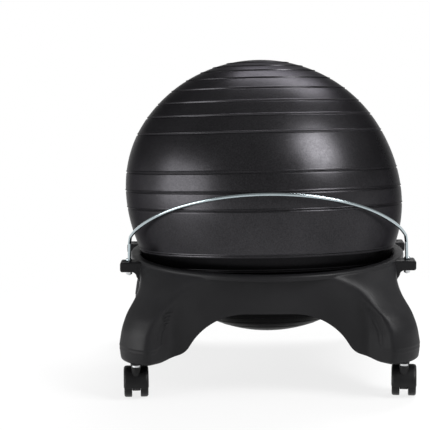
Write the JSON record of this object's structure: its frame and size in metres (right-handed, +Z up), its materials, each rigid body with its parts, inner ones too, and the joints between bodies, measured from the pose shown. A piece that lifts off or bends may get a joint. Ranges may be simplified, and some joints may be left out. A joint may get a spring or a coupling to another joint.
{
  "type": "balance ball chair",
  "caption": "Rolling chair with an inflated ball seated in a moulded four-legged ring base, a bent steel bar in front and casters.",
  "frame": {"origin": "on the floor below the middle of the seat", "axes": "+Z up, -Y to the front where the bent bar is, +X to the right seen from the front"},
  "size_m": [0.544, 0.5347, 0.5904],
  "materials": {
    "moulded_plastic": "satin, finely moulded",
    "ball_vinyl": "satin vinyl with a fine mottled grain",
    "plug_plastic": "matte",
    "bright_steel": "bright zinc",
    "zinc_steel": "zinc plated",
    "caster_plastic": "satin",
    "wheel_plastic": "satin",
    "lever_plastic": "satin"
  },
  "bodies": {
    "chair_frame": {"base_front": "moulded_plastic", "base_rear": "moulded_plastic", "joining_bolts": "zinc_steel", "joining_nuts": "zinc_steel", "joining_washers": "zinc_steel", "support_bar": "bright_steel", "bar_washers": "zinc_steel", "bar_nuts": "zinc_steel", "grip_rings": "zinc_steel", "thrust_washers": "zinc_steel", "stem_front_left": "zinc_steel", "stem_front_right": "zinc_steel", "stem_rear_left": "zinc_steel", "stem_rear_right": "zinc_steel"},
    "seat_ball": {"ball": "ball_vinyl", "ball_plug": "plug_plastic"},
    "caster_front_left": {"hood_front_left": "caster_plastic", "axle_front_left": "zinc_steel"},
    "wheel_front_left_left_body": {"wheel_front_left_left": "wheel_plastic"},
    "wheel_front_left_right_body": {"wheel_front_left_right": "wheel_plastic"},
    "caster_front_right": {"hood_front_right": "caster_plastic", "axle_front_right": "zinc_steel"},
    "wheel_front_right_left_body": {"wheel_front_right_left": "wheel_plastic"},
    "wheel_front_right_right_body": {"wheel_front_right_right": "wheel_plastic"},
    "caster_rear_left": {"hood_rear_left": "caster_plastic", "axle_rear_left": "zinc_steel", "lever_pin_rear_left": "zinc_steel"},
    "wheel_rear_left_left_body": {"wheel_rear_left_left": "wheel_plastic"},
    "wheel_rear_left_right_body": {"wheel_rear_left_right": "wheel_plastic"},
    "lever_rear_left": {"brake_lever_rear_left": "lever_plastic"},
    "caster_rear_right": {"hood_rear_right": "caster_plastic", "axle_rear_right": "zinc_steel", "lever_pin_rear_right": "zinc_steel"},
    "wheel_rear_right_left_body": {"wheel_rear_right_left": "wheel_plastic"},
    "wheel_rear_right_right_body": {"wheel_rear_right_right": "wheel_plastic"},
    "lever_rear_right": {"brake_lever_rear_right": "lever_plastic"}
  },
  "joints": [
    {"name": "ball_lift", "type": "slide", "parent": "chair_frame", "child": "seat_ball", "axis": [0, 0, 1], "range_m": [0, 0.31]},
    {"name": "swivel_front_left", "type": "hinge", "parent": "chair_frame", "child": "caster_front_left", "pos_m": [-0.237, -0.237, 0.045], "axis": [0, 0, 1], "continuous": true},
    {"name": "roll_front_left_left", "type": "hinge", "parent": "caster_front_left", "child": "wheel_front_left_left_body", "pos_m": [-0.25272, -0.22006, 0.025], "axis": [0.9976, 0.0698, 0], "continuous": true},
    {"name": "roll_front_left_right", "type": "hinge", "parent": "caster_front_left", "child": "wheel_front_left_right_body", "pos_m": [-0.22379, -0.21803, 0.025], "axis": [0.9976, 0.0698, 0], "continuous": true},
    {"name": "swivel_front_right", "type": "hinge", "parent": "chair_frame", "child": "caster_front_right", "pos_m": [0.237, -0.237, 0.045], "axis": [0, 0, 1], "continuous": true},
    {"name": "roll_front_right_left", "type": "hinge", "parent": "caster_front_right", "child": "wheel_front_right_left_body", "pos_m": [0.22446, -0.21758, 0.025], "axis": [0.9945, -0.1045, 0], "continuous": true},
    {"name": "roll_front_right_right", "type": "hinge", "parent": "caster_front_right", "child": "wheel_front_right_right_body", "pos_m": [0.2533, -0.22062, 0.025], "axis": [0.9945, -0.1045, 0], "continuous": true},
    {"name": "swivel_rear_left", "type": "hinge", "parent": "chair_frame", "child": "caster_rear_left", "pos_m": [-0.237, 0.237, 0.045], "axis": [0, 0, 1], "continuous": true},
    {"name": "roll_rear_left_left", "type": "hinge", "parent": "caster_rear_left", "child": "wheel_rear_left_left_body", "pos_m": [-0.22062, 0.2533, 0.025], "axis": [0.1045, -0.9945, 0], "continuous": true},
    {"name": "roll_rear_left_right", "type": "hinge", "parent": "caster_rear_left", "child": "wheel_rear_left_right_body", "pos_m": [-0.21758, 0.22446, 0.025], "axis": [0.1045, -0.9945, 0], "continuous": true},
    {"name": "brake_rear_left", "type": "hinge", "parent": "caster_rear_left", "child": "lever_rear_left", "pos_m": [-0.21797, 0.239, 0.05748], "axis": [0.1045, -0.9945, 0], "range_deg": [-12, 0]},
    {"name": "swivel_rear_right", "type": "hinge", "parent": "chair_frame", "child": "caster_rear_right", "pos_m": [0.237, 0.237, 0.045], "axis": [0, 0, 1], "continuous": true},
    {"name": "roll_rear_right_left", "type": "hinge", "parent": "caster_rear_right", "child": "wheel_rear_right_left_body", "pos_m": [0.22062, 0.2207, 0.025], "axis": [-0.1045, 0.9945, 0], "continuous": true},
    {"name": "roll_rear_right_right", "type": "hinge", "parent": "caster_rear_right", "child": "wheel_rear_right_right_body", "pos_m": [0.21758, 0.24954, 0.025], "axis": [-0.1045, 0.9945, 0], "continuous": true},
    {"name": "brake_rear_right", "type": "hinge", "parent": "caster_rear_right", "child": "lever_rear_right", "pos_m": [0.21797, 0.235, 0.05748], "axis": [-0.1045, 0.9945, 0], "range_deg": [-12, 0]}
  ]
}
